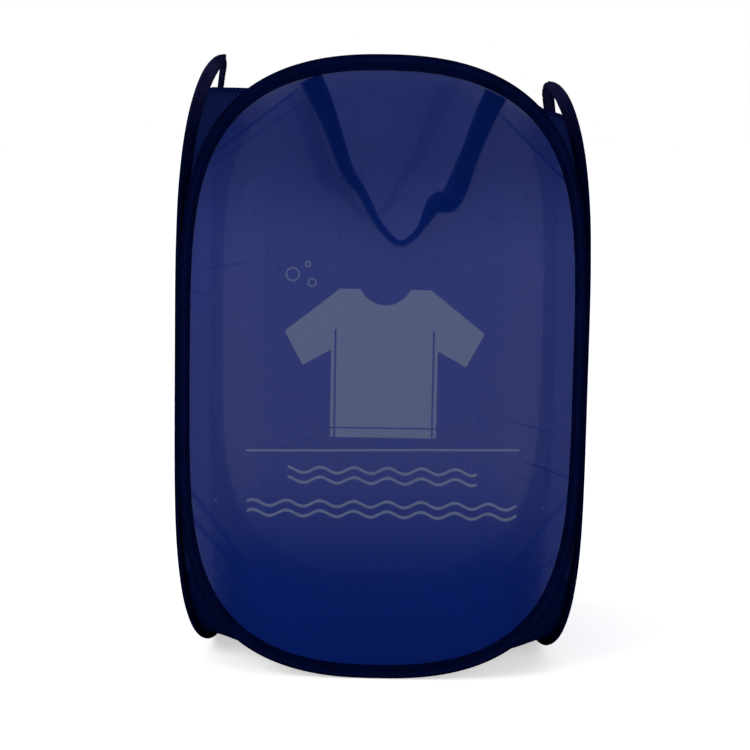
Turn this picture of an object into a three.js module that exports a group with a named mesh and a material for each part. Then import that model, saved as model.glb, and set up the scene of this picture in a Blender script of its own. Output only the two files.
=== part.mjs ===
// A pop up laundry hamper: four sprung oval panels sewn edge to edge round an open mouth.
// Millimetres, +Z up, the front panel faces -Y. The hamper stands on z = 0, centred on x = y = 0.
import * as THREE from 'three';

// Oval panels. The outline is a superellipse, measured to the outside of the binding.
const panelHalfWidth = 179;
const panelHeight = 560;
const rightPanelDrop = 20;
const acrossPower = 2.35;
const upPower = 4.2;
const ringSteps = 60;

// How far the top and bottom of a panel draw in from its sewn sides, and how gently.
const frontLean = 16;
const sideLean = 27;
const leanEase = 300;

// Spring steel wire, closed to a ring by a crimped ferrule.
const wireRadius = 0.9;
const wireSides = 6;
const wireEndGap = 1.2;
const ferruleLength = 24;
const ferruleWall = 0.4;
const crimpClearance = 0.25;

// Binding tape, folded round the wire with the fabric's edge between its two legs.
const sewnClearance = 0.3;
const tapeThickness = 0.6;
const arcBandWidth = 14;
const sideBandWidth = 10;
const bandWideningPower = 12;

// Fabric.
const fabricThickness = 0.6;
const fabricInset = 6;
const sideHemDrop = 34;
const hemHeight = 5;
const hemThickness = 0.5;

// Corner gussets, sewn inside the binding of two neighbouring panels.
const gussetInset = 6.5;
const gussetFoldAngle = 54;
const handleGussetAngle = 51;
const cornerFootAngle = -22;
const gussetColumns = 4;
const gussetRowShares = [0, 0.05, 0.12, 0.2, 0.28, 0.37, 0.46, 0.55, 0.64, 0.73, 0.82, 0.91, 1];

// Base sheet, sewn inside the binding along the four bottom arcs, so many ring steps to each side.
const baseInset = 6.5;
const baseSag = 3;
const baseArcSteps = 11;
const baseRisePower = 2.5;

// Webbing handles. The loop hangs from its two sewn ends, placed as shares of the half width.
const strapWidth = 20;
const strapThickness = 1.2;
const handleLeftShare = -0.391;
const handleRightShare = 0.57;
const handleDrop = 137;
const tabThickness = 1.2;
const tabEdge = 2;
const tabSteps = 3;
// Across, as a share of the way from the left end to the right, and down, as a share of the drop.
const loopAcrossShares = [0, 0.07, 0.13, 0.205, 0.29, 0.37, 0.45, 0.51, 0.57, 0.62, 0.69, 0.77, 0.86, 0.93, 1];
const loopDownShares = [0, 0.16, 0.33, 0.56, 0.7, 0.87, 0.975, 1, 0.95, 0.87, 0.72, 0.69, 0.42, 0.19, 0];
// How far the webbing is turned edge on, as a share of a quarter turn.
const loopTwistShares = [0, 0.3, 0.48, 0.6, 0.72, 0.78, 0.8, 0.8, 0.8, 0.76, 0.4, 0.1, 0.35, 0.25, 0];

const ferruleBore = wireRadius + crimpClearance;
const ferruleRadius = ferruleBore + ferruleWall;
const channelRadius = ferruleRadius + sewnClearance;
const foldRadius = channelRadius + tapeThickness;
const legGap = fabricThickness / 2 + sewnClearance;
const legFace = legGap + tapeThickness;
const cornerSpacing = 2 * foldRadius + sewnClearance;
const panelDistance = panelHalfWidth - foldRadius + cornerSpacing / Math.SQRT2;
const handleLeftX = handleLeftShare * panelHalfWidth;
const handleRightX = handleRightShare * panelHalfWidth;
const fullAngle = 360;
const quarterAngle = 90;

const panels = {
  front: { facing: 0, height: panelHeight, lean: frontLean, openTop: false },
  right: { facing: 90, height: panelHeight - rightPanelDrop, lean: sideLean, openTop: true },
  back: { facing: 180, height: panelHeight, lean: frontLean, openTop: false },
  left: { facing: 270, height: panelHeight, lean: sideLean, openTop: true },
};

const fabricLook = { color: 0x262f66, roughness: 0.72, metalness: 0 };
const bindingLook = { color: 0x0b1030, roughness: 0.85, metalness: 0 };
const hemLook = { color: 0x161e4c, roughness: 0.8, metalness: 0 };
const webbingLook = { color: 0x0a0f33, roughness: 0.8, metalness: 0 };
const steelLook = { color: 0x8b8d90, roughness: 0.35, metalness: 1 };

const hamper = new THREE.Group();

// Half the width of the outline at a share of the half height, from -1 at the foot to 1 at the top.
function halfWidthAt(rise) {
  const share = Math.max(0, 1 - Math.abs(rise) ** upPower);
  return panelHalfWidth * share ** (1 / acrossPower);
}

// How far a panel has drawn in at a height. It follows the outline's own narrowing, so that
// neighbouring panels stay edge to edge where they are sewn and fold without crossing.
function leanAt(panel, height) {
  const half = panel.height / 2;
  const narrowing = panelHalfWidth - halfWidthAt((height - half) / half);
  const ease = (panelHalfWidth + leanEase) / (narrowing + leanEase);
  return panel.lean * (narrowing / panelHalfWidth) * ease;
}

// Turns a place on a panel, across it, out of it and up it, into the hamper's frame.
function placeOnPanel(panel, across, lift, height) {
  const place = new THREE.Vector3(across, -(panelDistance - leanAt(panel, height)) - lift, height);
  return place.applyAxisAngle(new THREE.Vector3(0, 0, 1), THREE.MathUtils.degToRad(panel.facing));
}

// One station of the outline, at a turn in degrees from the right hand side, moved in by inset.
function stationPlace(panel, turn, inset) {
  const angle = THREE.MathUtils.degToRad(turn);
  const half = panel.height / 2;
  const cosine = Math.cos(angle);
  const sine = Math.sin(angle);
  const across = Math.sign(cosine) * Math.abs(cosine) ** (2 / acrossPower);
  const rise = Math.sign(sine) * Math.abs(sine) ** (2 / upPower);
  const slopeAcross = Math.sign(across) * acrossPower * Math.abs(across) ** (acrossPower - 1) / panelHalfWidth;
  const slopeUp = Math.sign(rise) * upPower * Math.abs(rise) ** (upPower - 1) / half;
  const outward = new THREE.Vector2(slopeAcross, slopeUp).normalize();
  const outline = new THREE.Vector2(across * panelHalfWidth, half + rise * half);
  return outline.addScaledVector(outward, -inset);
}

// A place on the straight run between two stations, so that pieces sewn to a ring follow its facets.
function ringPlace(panel, turn, inset, lift) {
  const stepTurn = fullAngle / ringSteps;
  const before = Math.floor(turn / stepTurn + Number.EPSILON) * stepTurn;
  const share = (turn - before) / stepTurn;
  const flatBefore = stationPlace(panel, before, inset);
  const flatAfter = stationPlace(panel, before + stepTurn, inset);
  const placeBefore = placeOnPanel(panel, flatBefore.x, lift, flatBefore.y);
  const placeAfter = placeOnPanel(panel, flatAfter.x, lift, flatAfter.y);
  return placeBefore.lerp(placeAfter, share);
}

// The binding is widest on the top and bottom arcs and narrower where it is sewn to its neighbour.
function bandWidthAt(turn) {
  const rise = Math.abs(Math.sin(THREE.MathUtils.degToRad(turn))) ** (2 / upPower);
  return sideBandWidth + (arcBandWidth - sideBandWidth) * rise ** bandWideningPower;
}

// The binding's face above or below the panel's middle plane, at a distance in from its outer edge.
function bandFaceAt(inset, turn) {
  const shoulder = foldRadius * Math.sin(Math.PI / 3);
  const start = foldRadius + foldRadius * Math.cos(Math.PI / 3);
  const share = (inset - start) / (bandWidthAt(turn) - start);
  return THREE.MathUtils.lerp(shoulder, legFace, THREE.MathUtils.clamp(share, 0, 1));
}

// A closed solid through a row of sections that all have the same number of points. The second half
// of a thin section lies behind the first, so its faces are split the other way to match.
function loft(sections, looped) {
  const count = sections[0].length;
  const positions = sections.flat().flatMap((point) => [point.x, point.y, point.z]);
  const triangles = [];
  const spans = looped ? sections.length : sections.length - 1;
  for (let span = 0; span < spans; span += 1) {
    const here = span * count;
    const there = ((span + 1) % sections.length) * count;
    for (let corner = 0; corner < count; corner += 1) {
      const next = (corner + 1) % count;
      if (corner < count / 2) {
        triangles.push(here + corner, here + next, there + next);
        triangles.push(here + corner, there + next, there + corner);
      } else {
        triangles.push(here + corner, here + next, there + corner);
        triangles.push(here + next, there + next, there + corner);
      }
    }
  }
  if (!looped) {
    const last = (sections.length - 1) * count;
    for (const [one, two, three] of endFaces(sections[0])) {
      triangles.push(one, three, two);
    }
    for (const [one, two, three] of endFaces(sections[sections.length - 1])) {
      triangles.push(last + one, last + two, last + three);
    }
  }
  return facingOut(positions, triangles);
}

// The triangles that close the end of a loft, found in the plane of its end section.
function endFaces(section) {
  const middle = new THREE.Vector3();
  section.forEach((point) => middle.addScaledVector(point, 1 / section.length));
  const normal = new THREE.Vector3();
  section.forEach((point, corner) => {
    const next = section[(corner + 1) % section.length];
    normal.add(point.clone().sub(middle).cross(next.clone().sub(middle)));
  });
  normal.normalize();
  const across = section[1].clone().sub(section[0]).normalize();
  const along = normal.clone().cross(across);
  const flat = section.map((point) => new THREE.Vector2(point.dot(across), point.dot(along)));
  return THREE.ShapeUtils.triangulateShape(flat, []);
}

// Makes the geometry, turning every triangle over if the solid came out inside out.
function facingOut(positions, triangles) {
  const corner = (index) => new THREE.Vector3().fromArray(positions, index * 3);
  let volume = 0;
  for (let start = 0; start < triangles.length; start += 3) {
    const [one, two, three] = triangles.slice(start, start + 3).map(corner);
    volume += one.dot(two.cross(three));
  }
  if (volume < 0) {
    triangles.reverse();
  }
  const geometry = new THREE.BufferGeometry();
  geometry.setAttribute('position', new THREE.Float32BufferAttribute(positions, 3));
  geometry.setIndex(triangles);
  const faceted = geometry.toNonIndexed();
  faceted.computeVertexNormals();
  return faceted;
}

// A thin sheet through rows of places, with its two faces half its thickness to either side.
function sheetGeometry(rows, outward) {
  const half = fabricThickness / 2;
  const face = (places, lift) => places.map((place) => place.clone().addScaledVector(outward, lift));
  return loft(rows.map((row) => [...face(row, half), ...face(row.toReversed(), -half)]), false);
}

// The way out of a panel, square to it where it is sewn.
function outwardOf(panel) {
  return placeOnPanel(panel, 0, 1, 0).sub(placeOnPanel(panel, 0, 0, 0));
}

function addPiece(name, geometry, look) {
  const mesh = new THREE.Mesh(geometry, new THREE.MeshStandardMaterial(look));
  mesh.name = name;
  hamper.add(mesh);
}

function ringTurns() {
  return Array.from({ length: ringSteps }, (_, step) => (step * fullAngle) / ringSteps);
}

// A regular polygon of a tube's section, as pairs of inset and lift round the wire's centre.
function tubeSection(radius) {
  return Array.from({ length: wireSides }, (_, side) => {
    const angle = (side * 2 * Math.PI) / wireSides;
    return [foldRadius + radius * Math.cos(angle), radius * Math.sin(angle)];
  });
}

// The binding's section: the outer fold, the two legs and the channel that holds the wire.
function bindingSection(turn) {
  const width = bandWidthAt(turn);
  const fold = (radius, angles) => angles.map((angle) => [
    foldRadius + radius * Math.cos((angle * Math.PI) / 180),
    radius * Math.sin((angle * Math.PI) / 180),
  ]);
  const foldAngles = [60, 120, 180, 240, 300];
  return [
    [width, legFace],
    ...fold(foldRadius, foldAngles),
    [width, -legFace],
    [width, -legGap],
    ...fold(channelRadius, foldAngles.toReversed()),
    [width, legGap],
  ];
}

function addBinding(name, panel) {
  const sections = ringTurns().map((turn) => (
    bindingSection(turn).map(([inset, lift]) => ringPlace(panel, turn, inset, lift))
  ));
  addPiece(`${name}_binding`, loft(sections, true), bindingLook);
}

// The wire's two ends nearly meet at the foot of the ring, inside the ferrule.
function addWire(name, panel) {
  const foot = -quarterAngle;
  const section = tubeSection(wireRadius);
  const sections = [];
  for (let step = 0; step <= ringSteps; step += 1) {
    const turn = foot + (step * fullAngle) / ringSteps;
    sections.push(section.map(([inset, lift]) => ringPlace(panel, turn, inset, lift)));
  }
  const along = new THREE.Vector3(1, 0, 0);
  along.applyAxisAngle(new THREE.Vector3(0, 0, 1), THREE.MathUtils.degToRad(panel.facing));
  sections[0].forEach((point) => point.addScaledVector(along, wireEndGap / 2));
  sections[ringSteps].forEach((point) => point.addScaledVector(along, -wireEndGap / 2));
  addPiece(`${name}_wire`, loft(sections, false), steelLook);
}

// A crimped tube on the short straight run at the foot of the ring.
function addFerrule(name, panel) {
  const foot = -quarterAngle;
  const stepTurn = fullAngle / ringSteps;
  const stepLength = ringPlace(panel, foot, foldRadius, 0)
    .distanceTo(ringPlace(panel, foot + stepTurn, foldRadius, 0));
  const reach = (stepTurn * ferruleLength) / 2 / stepLength;
  const turns = [foot - reach, foot, foot + reach];
  const ringAt = (turn, radius) => (
    tubeSection(radius).map(([inset, lift]) => ringPlace(panel, turn, inset, lift))
  );
  const outside = turns.map((turn) => ringAt(turn, ferruleRadius));
  const inside = turns.toReversed().map((turn) => ringAt(turn, ferruleBore));
  addPiece(`${name}_ferrule`, loft([...outside, ...inside], true), steelLook);
}

// The fabric in rows, from the foot of the panel to its top or, on a side panel, to its straight hem.
function fabricRows(panel) {
  const stepTurn = fullAngle / ringSteps;
  const hemTop = panel.height - sideHemDrop;
  const rows = [];
  for (let turn = -quarterAngle + stepTurn; turn < quarterAngle; turn += stepTurn) {
    const edge = stationPlace(panel, turn, fabricInset);
    if (panel.openTop && edge.y >= hemTop) {
      const below = rows[rows.length - 1];
      const share = (hemTop - below.y) / (edge.y - below.y);
      rows.push(below.clone().lerp(edge, share));
      return rows;
    }
    rows.push(edge);
  }
  return rows;
}

function addFabric(name, panel) {
  const rows = fabricRows(panel).map((edge) => (
    [-edge.x, edge.x].map((across) => placeOnPanel(panel, across, 0, edge.y))
  ));
  addPiece(`${name}_fabric`, sheetGeometry(rows, outwardOf(panel)), fabricLook);
}

// A folded strip that wraps a free edge, open underneath. Each of its stations has a place on the
// edge and the way down the sheet from there.
function hemGeometry(stations, outward) {
  const inner = fabricThickness / 2 + sewnClearance;
  const outer = inner + hemThickness;
  const profile = [
    [-outer, -hemHeight],
    [-outer, sewnClearance + hemThickness],
    [outer, sewnClearance + hemThickness],
    [outer, -hemHeight],
    [inner, -hemHeight],
    [inner, sewnClearance],
    [-inner, sewnClearance],
    [-inner, -hemHeight],
  ];
  const sections = stations.map(({ place, down }) => profile.map(([lift, rise]) => (
    place.clone().addScaledVector(outward, lift).addScaledVector(down, -rise)
  )));
  return loft(sections, false);
}

// The straight hem of a side panel, which leaves a hand opening under the top arc.
function addSideHem(name, panel) {
  const rows = fabricRows(panel);
  const height = rows[rows.length - 1].y;
  const halfLength = clearHalfWidth(panel, height + hemThickness + sewnClearance);
  const stations = [-halfLength, halfLength].map((across) => {
    const place = placeOnPanel(panel, across, 0, height);
    const down = placeOnPanel(panel, across, 0, height - hemHeight).sub(place);
    return { place, down: down.divideScalar(hemHeight) };
  });
  addPiece(`${name}_hem`, hemGeometry(stations, outwardOf(panel)), hemLook);
}

// Half the clear width between the binding's inner edges at a height, less the hem's clearance.
function clearHalfWidth(panel, height) {
  const stepTurn = fullAngle / ringSteps;
  let turn = 0;
  let below = stationPlace(panel, turn, bandWidthAt(turn));
  let above = below;
  while (above.y < height) {
    turn += stepTurn;
    below = above;
    above = stationPlace(panel, turn, bandWidthAt(turn));
  }
  const share = (height - below.y) / (above.y - below.y);
  return THREE.MathUtils.lerp(below.x, above.x, share) - sewnClearance;
}

// The two sewn edges of a corner gusset, from its hem down to the base sheet's corner.
function gussetEdges(leading, trailing, leadingFoldAngle) {
  return gussetRowShares.map((share) => {
    const leadingTurn = THREE.MathUtils.lerp(leadingFoldAngle, cornerFootAngle, share);
    const trailingTurn = THREE.MathUtils.lerp(gussetFoldAngle, cornerFootAngle, share);
    return [
      sewnInside(leading, leadingTurn, gussetInset),
      sewnInside(trailing, 2 * quarterAngle - trailingTurn, gussetInset),
    ];
  });
}

// A place on the middle of a sheet that lies against the inner face of the binding.
function sewnInside(panel, turn, inset) {
  const lift = bandFaceAt(inset, turn) + sewnClearance + fabricThickness / 2;
  return ringPlace(panel, turn, inset, -lift);
}

// One corner's gusset and its hem. The leading panel has the corner on its right hand side and the
// trailing panel has it on its left.
function addGusset(corner, leading, trailing, leadingFoldAngle) {
  const edges = gussetEdges(leading, trailing, leadingFoldAngle);
  const bisector = THREE.MathUtils.degToRad(leading.facing + quarterAngle / 2);
  const outward = new THREE.Vector3(Math.sin(bisector), -Math.cos(bisector), 0);
  const rows = edges.map(([start, end]) => Array.from({ length: gussetColumns + 1 }, (_, column) => (
    start.clone().lerp(end, column / gussetColumns)
  )));
  addPiece(`${corner}_gusset`, sheetGeometry(rows, outward), fabricLook);

  const [[topStart, topEnd], [nextStart, nextEnd]] = edges;
  const trimShare = (foldRadius + hemThickness + sewnClearance) / topStart.distanceTo(topEnd);
  const stations = Array.from({ length: gussetColumns + 1 }, (_, column) => {
    const share = THREE.MathUtils.lerp(trimShare, 1 - trimShare, column / gussetColumns);
    const place = topStart.clone().lerp(topEnd, share);
    const next = nextStart.clone().lerp(nextEnd, share);
    const drop = place.z - next.z;
    return { place, down: next.sub(place).divideScalar(drop) };
  });
  addPiece(`${corner}_gusset_hem`, hemGeometry(stations, outward), hemLook);
}

// The base sheet's sewn edge along one bottom arc, from the panel's left to its right.
function baseArc(panel) {
  const stepAngle = fullAngle / ringSteps;
  return Array.from({ length: 2 * baseArcSteps + 1 }, (_, step) => (
    sewnInside(panel, -quarterAngle + (step - baseArcSteps) * stepAngle, baseInset)
  ));
}

// The four edges of the base sheet, each from left to right or from front to back, with their ends
// brought together at the corners.
function baseEdges() {
  const [front, right, back, left] = Object.values(panels).map(baseArc);
  back.reverse();
  left.reverse();
  const last = 2 * baseArcSteps;
  for (const [one, oneEnd, two, twoEnd] of [
    [front, 0, left, 0], [front, last, right, 0], [back, 0, left, last], [back, last, right, last],
  ]) {
    const corner = one[oneEnd].clone().lerp(two[twoEnd], 1 / 2);
    one[oneEnd] = corner;
    two[twoEnd] = corner;
  }
  return { front, right, back, left };
}

// How strongly an edge draws on a place, from 1 at the edge itself to 0, and the same for height.
function drawOf(share) {
  const rise = Math.max(0, 2 * share - 1) ** baseRisePower;
  return new THREE.Vector3(share, share, rise);
}

// Rows of places on the base sheet, from the front arc to the back one. The sheet is slack in the
// middle and drawn up to the corners.
function baseRows() {
  const { front, right, back, left } = baseEdges();
  const last = 2 * baseArcSteps;
  const heights = [front, right, back, left].flat().map((place) => place.z);
  const rest = new THREE.Vector3(0, 0, Math.min(...heights) - baseSag);
  return front.map((_, row) => front.map((__, column) => {
    const place = rest.clone();
    const pull = (edgePlace, ...draws) => {
      const drawn = edgePlace.clone().sub(rest);
      draws.forEach((draw) => drawn.multiply(draw));
      return drawn;
    };
    const toBack = drawOf(row / last);
    const toFront = drawOf(1 - row / last);
    const toRight = drawOf(column / last);
    const toLeft = drawOf(1 - column / last);
    place.add(pull(front[column], toFront)).add(pull(back[column], toBack));
    place.add(pull(left[row], toLeft)).add(pull(right[row], toRight));
    place.sub(pull(front[0], toFront, toLeft)).sub(pull(front[last], toFront, toRight));
    return place.sub(pull(back[0], toBack, toLeft)).sub(pull(back[last], toBack, toRight));
  }));
}

function addBase() {
  addPiece('base_fabric', sheetGeometry(baseRows(), new THREE.Vector3(0, 0, 1)), fabricLook);
}

// The turn on the top arc at which the ring is a given distance across.
function topTurnAt(across) {
  const share = Math.abs(across) / panelHalfWidth;
  const turn = THREE.MathUtils.radToDeg(Math.acos(share ** (acrossPower / 2)));
  return across < 0 ? 2 * quarterAngle - turn : turn;
}

// A handle's end, folded over and sewn flat against the inside of the binding.
function tabGeometry(panel, across) {
  const halfTurn = topTurnAt(across - strapWidth / 2) - topTurnAt(across);
  const middle = topTurnAt(across);
  const sections = [];
  for (let step = 0; step <= tabSteps; step += 1) {
    const turn = middle + halfTurn * ((2 * step) / tabSteps - 1);
    const deep = bandWidthAt(turn);
    const top = foldRadius + tabEdge;
    const place = (inset, extra) => (
      ringPlace(panel, turn, inset, -(bandFaceAt(inset, turn) + sewnClearance + extra))
    );
    sections.push([place(top, 0), place(deep, 0), place(deep, tabThickness), place(top, tabThickness)]);
  }
  return loft(sections, false);
}

// The end of the hanging loop: just clear of its tab, on the inside of the panel.
function handleEnd(panel, across) {
  const turn = topTurnAt(across);
  const inset = bandWidthAt(turn) + sewnClearance + strapThickness / 2;
  const tabFace = bandFaceAt(foldRadius + tabEdge, turn) + sewnClearance + tabThickness;
  return ringPlace(panel, turn, inset, -(tabFace + sewnClearance + strapThickness / 2));
}

// The webbing loop, hanging flat from its two ends and turned edge on further down.
function strapGeometry(panel) {
  const left = handleEnd(panel, handleLeftX);
  const right = handleEnd(panel, handleRightX);
  const down = new THREE.Vector3(0, 0, -1);
  const places = loopAcrossShares.map((share, step) => (
    left.clone().lerp(right, share).addScaledVector(down, handleDrop * loopDownShares[step])
  ));
  const curve = new THREE.CatmullRomCurve3(places, false, 'centripetal');
  const inward = right.clone().sub(left).cross(down).normalize();
  const last = loopTwistShares.length - 1;
  const sections = loopTwistShares.map((twistShare, step) => {
    const sewnEnd = step === 0 || step === last;
    const along = sewnEnd ? down.clone().multiplyScalar(step === 0 ? 1 : -1) : curve.getTangent(step / last);
    const twist = (twistShare * Math.PI) / 2;
    const across = new THREE.Vector3().crossVectors(inward, along).normalize();
    const wide = across.clone().multiplyScalar(Math.cos(twist)).addScaledVector(inward, Math.sin(twist));
    const thick = new THREE.Vector3().crossVectors(wide, along).normalize();
    const corners = [[-1, -1], [1, -1], [1, 1], [-1, 1]];
    return corners.map(([side, face]) => places[step].clone()
      .addScaledVector(wide, (side * strapWidth) / 2)
      .addScaledVector(thick, (face * strapThickness) / 2));
  });
  return loft(sections, false);
}

function addHandle(name, panel) {
  addPiece(`${name}_handle_strap`, strapGeometry(panel), webbingLook);
  addPiece(`${name}_handle_tab_left`, tabGeometry(panel, handleLeftX), webbingLook);
  addPiece(`${name}_handle_tab_right`, tabGeometry(panel, handleRightX), webbingLook);
}

for (const [name, panel] of Object.entries(panels)) {
  addWire(name, panel);
  addFerrule(name, panel);
  addBinding(name, panel);
  addFabric(name, panel);
  if (panel.openTop) {
    addSideHem(name, panel);
  }
}
addGusset('front_right', panels.front, panels.right, handleGussetAngle);
addGusset('back_right', panels.right, panels.back, gussetFoldAngle);
addGusset('back_left', panels.back, panels.left, handleGussetAngle);
addGusset('front_left', panels.left, panels.front, gussetFoldAngle);
addBase();
addHandle('front', panels.front);
addHandle('back', panels.back);

export default hamper;
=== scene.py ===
import math

import bmesh
import bpy
from bpy.props import FloatProperty, FloatVectorProperty, IntProperty, PointerProperty
from mathutils import Euler, Matrix, Vector, noise


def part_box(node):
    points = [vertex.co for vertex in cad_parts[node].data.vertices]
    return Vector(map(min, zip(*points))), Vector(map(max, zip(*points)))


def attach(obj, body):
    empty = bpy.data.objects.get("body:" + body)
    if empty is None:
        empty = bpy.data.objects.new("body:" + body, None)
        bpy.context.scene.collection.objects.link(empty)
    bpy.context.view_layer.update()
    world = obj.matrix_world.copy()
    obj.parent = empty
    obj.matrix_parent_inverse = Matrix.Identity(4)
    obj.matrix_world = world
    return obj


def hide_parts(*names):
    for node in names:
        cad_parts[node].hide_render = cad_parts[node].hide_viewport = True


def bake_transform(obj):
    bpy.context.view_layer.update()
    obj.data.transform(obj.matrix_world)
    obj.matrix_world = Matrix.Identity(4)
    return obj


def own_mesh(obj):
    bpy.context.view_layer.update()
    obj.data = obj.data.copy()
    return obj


bl_info = {
    "name": "Pop Up Laundry Hamper",
    "version": (1, 0, 0),
    "blender": (4, 5, 0),
    "location": "View3D > Sidebar > Hamper",
    "description": "Dresses a pop up laundry hamper in tape, nylon and webbing",
    "category": "Object",
}

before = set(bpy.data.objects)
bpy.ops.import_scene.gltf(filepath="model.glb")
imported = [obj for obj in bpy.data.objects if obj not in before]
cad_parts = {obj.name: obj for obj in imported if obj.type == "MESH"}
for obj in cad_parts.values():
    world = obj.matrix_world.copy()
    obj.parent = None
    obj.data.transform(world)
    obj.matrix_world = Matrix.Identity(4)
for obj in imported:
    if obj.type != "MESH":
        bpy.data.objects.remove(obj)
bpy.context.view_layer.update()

FRONT_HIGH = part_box("front_binding")[1]
RIGHT_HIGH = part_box("right_binding")[1]

# A panel's outline is a superellipse with these powers. A turn is an angle in degrees about its
# middle, from its right hand side, that gives a place on the outline.
ACROSS_POWER = 2.35
UP_POWER = 4.2
# How gently a panel draws in as its outline narrows, and the space between two tapes at a seam.
LEAN_EASE = 0.300
CORNER_SPACING = 0.0052

# The tape lies flat to its panel half way up the sides, and again at its foot, at these turns.
FLAT_TURN = -4
FOOT_TURN = -60
# The turns between which a side panel's tape droops, and metres round a panel along its tape.
OPEN_TURNS = (48, 132)
TAPE_AROUND = 1.55

# How far in from a tape's edge the panels' cloth, the corners' and the base are sewn, and how deep.
CLOTH_INSET = 0.0062
GUSSET_INSET = 0.0065
BASE_INSET = 0.0072
SEWN_DEPTH = 0.0005
# The rings of places on a panel's cloth, and how close places are that are joined into one.
CLOTH_RINGS = 44
WELD_REACH = 0.00001
# A sheet's least area as a share of its width times its length.
LEAST_AREA = 0.3
# The tape's inner face from the panel's middle, at its fold and at its inner edge.
FOLD_FACE = 0.0021
EDGE_FACE = 0.0013
# How deep behind a panel a handle's loop hangs: behind the tape, the sewn end and a gap.
LOOP_DEPTH = FOLD_FACE + 0.0015 + 0.0009

# The loop of a handle, from its left end to its right: how far across, how far down its drop, and
# how far it is turned edge on, as shares.
LOOP_ACROSS = [0, 0.07, 0.13, 0.205, 0.29, 0.37, 0.45, 0.51, 0.57, 0.62, 0.69, 0.77, 0.86, 0.93, 1]
LOOP_DOWN = [0, 0.16, 0.33, 0.56, 0.7, 0.87, 0.975, 1, 0.95, 0.87, 0.72, 0.69, 0.42, 0.19, 0]
LOOP_TWIST = [0, 0.3, 0.48, 0.6, 0.72, 0.78, 0.8, 0.8, 0.8, 0.76, 0.4, 0.1, 0.35, 0.25, 0]

# How far from the tape the cloth follows its tilt, where its gathers and creases start, how far the
# gathers reach, and metres along the tape for each radian of turn.
TILT_REACH = 0.026
GATHER_START = 0.006
CREASE_START = 0.004
GATHER_REACH = 0.030
GATHER_RUN = 0.24
# The creases in the other panels' cloth: how many, how far across they begin, their width and depth.
OTHER_CREASES = 11
OTHER_PLACE = 0.172
OTHER_WIDTH = 0.0035
OTHER_DEPTH = 0.0013
# Creases in the front cloth: where each begins and ends, its width and its depth.
FRONT_CREASES = [
    ((-0.076, 0.529), (-0.146, 0.474), 0.0030, -0.0022),
    ((-0.070, 0.519), (-0.150, 0.462), 0.0034, -0.0009),
    ((0.099, 0.510), (0.161, 0.450), 0.0030, -0.0022),
    ((-0.171, 0.178), (-0.112, 0.098), 0.0060, -0.0014),
    ((-0.168, 0.150), (-0.100, 0.074), 0.0060, -0.0018),
    ((-0.150, 0.108), (-0.086, 0.050), 0.0050, -0.0012),
    ((0.168, 0.175), (0.110, 0.095), 0.0055, -0.0012),
    ((0.160, 0.120), (0.085, 0.052), 0.0060, -0.0010),
    ((0.150, 0.232), (0.118, 0.240), 0.0026, -0.0010),
    ((0.170, 0.190), (0.126, 0.206), 0.0026, -0.0013),
    ((-0.172, 0.352), (-0.160, 0.350), 0.0024, -0.0018),
    ((-0.150, 0.372), (-0.118, 0.378), 0.0034, -0.0009),
    ((-0.103, 0.493), (-0.140, 0.465), 0.0022, -0.0009),
    ((0.103, 0.528), (0.122, 0.511), 0.0020, -0.0010),
    ((-0.164, 0.140), (-0.098, 0.062), 0.0060, 0.0020),
    ((-0.171, 0.200), (-0.130, 0.125), 0.0045, -0.0016),
    ((0.160, 0.120), (0.085, 0.052), 0.0060, 0.0018),
    ((0.100, 0.270), (0.122, 0.205), 0.0030, -0.0011),
    ((0.146, 0.290), (0.158, 0.220), 0.0028, 0.0011),
    ((0.128, 0.330), (0.140, 0.262), 0.0030, -0.0009),
    ((-0.170, 0.308), (-0.118, 0.318), 0.0034, 0.0010),
    ((-0.172, 0.252), (-0.136, 0.240), 0.0030, -0.0010),
    ((0.170, 0.372), (0.126, 0.362), 0.0032, -0.0010),
]
# How many of them are sharp, how far those fade at their ends, and the depth that shows in full.
SHARP_CREASES = 12
SHARP_FADE = 0.012
SHARP_DEPTH = 0.0022

# The rows of a corner's cloth, those where each of its stretches starts and ends, and its columns.
GUSSET_PARTS = {"upper": (0, 30), "seam": (30, 122), "lower": (122, 144)}
GUSSET_ROWS = 144
GUSSET_COLUMNS = 20
# The turns on the panels at which a corner's cloth ends below, and above on its second panel.
GUSSET_FOOT = -25
GUSSET_TOP = 54
# How far it bows in, as a share of its width, and the cloth that its seams take up.
GUSSET_BOW = 0.06
SEAM_ALLOWANCE = 0.0006
# From this turn up, over this span, its seam on a side panel moves out to the tape's inner edge.
EDGE_TURN = -14
EDGE_SPAN = 12
# The corners with their two panels and the turn where their cloth ends above on the first. The
# split one is where the ring of panels is opened.
BENDING_CORNERS = (
    ("front_right", "front", "right", 51),
    ("back_left", "back", "left", 51),
    ("front_left", "left", "front", 54),
)
SPLIT_CORNER = ("back_right", "right", "back", 54)

# How far the base cloth sags below its edges, its least height, and its cut against its plan.
BASE_SAG = 0.0024
BASE_HEIGHT = 0.0012
BASE_SLACK = 1.03

# The middle of the front panel's print, how soft the ink's edges are, and half the rule's length.
PRINT_MIDDLE = 0.0025
PRINT_EDGE = 0.0005
RULE_REACH = 0.121
# The print's bubbles by centre and radius, their line's width, and its waves by height and reach.
BUBBLES = (((-0.079, 0.368), 0.0062), ((-0.062, 0.361), 0.0040), ((-0.066, 0.377), 0.0028))
BUBBLE_LINE = 0.0013
WAVES = ((0.1895, 0.084), (0.1590, 0.120))
# From thread to thread of the nylon, and along a side panel's tape from the foot to the top.
THREAD_PITCH = 0.0009
TOP_RUN = 0.755

# The camera's place, its lens and sensor in millimetres, and its turns down, aside and about its axis.
CAMERA_PLACE = (0.0023, -1.960, 0.5299)
CAMERA_LENS = 97.857
CAMERA_SENSOR = 36
CAMERA_TURNS = (7.99, 0.25, 1.02)
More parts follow.
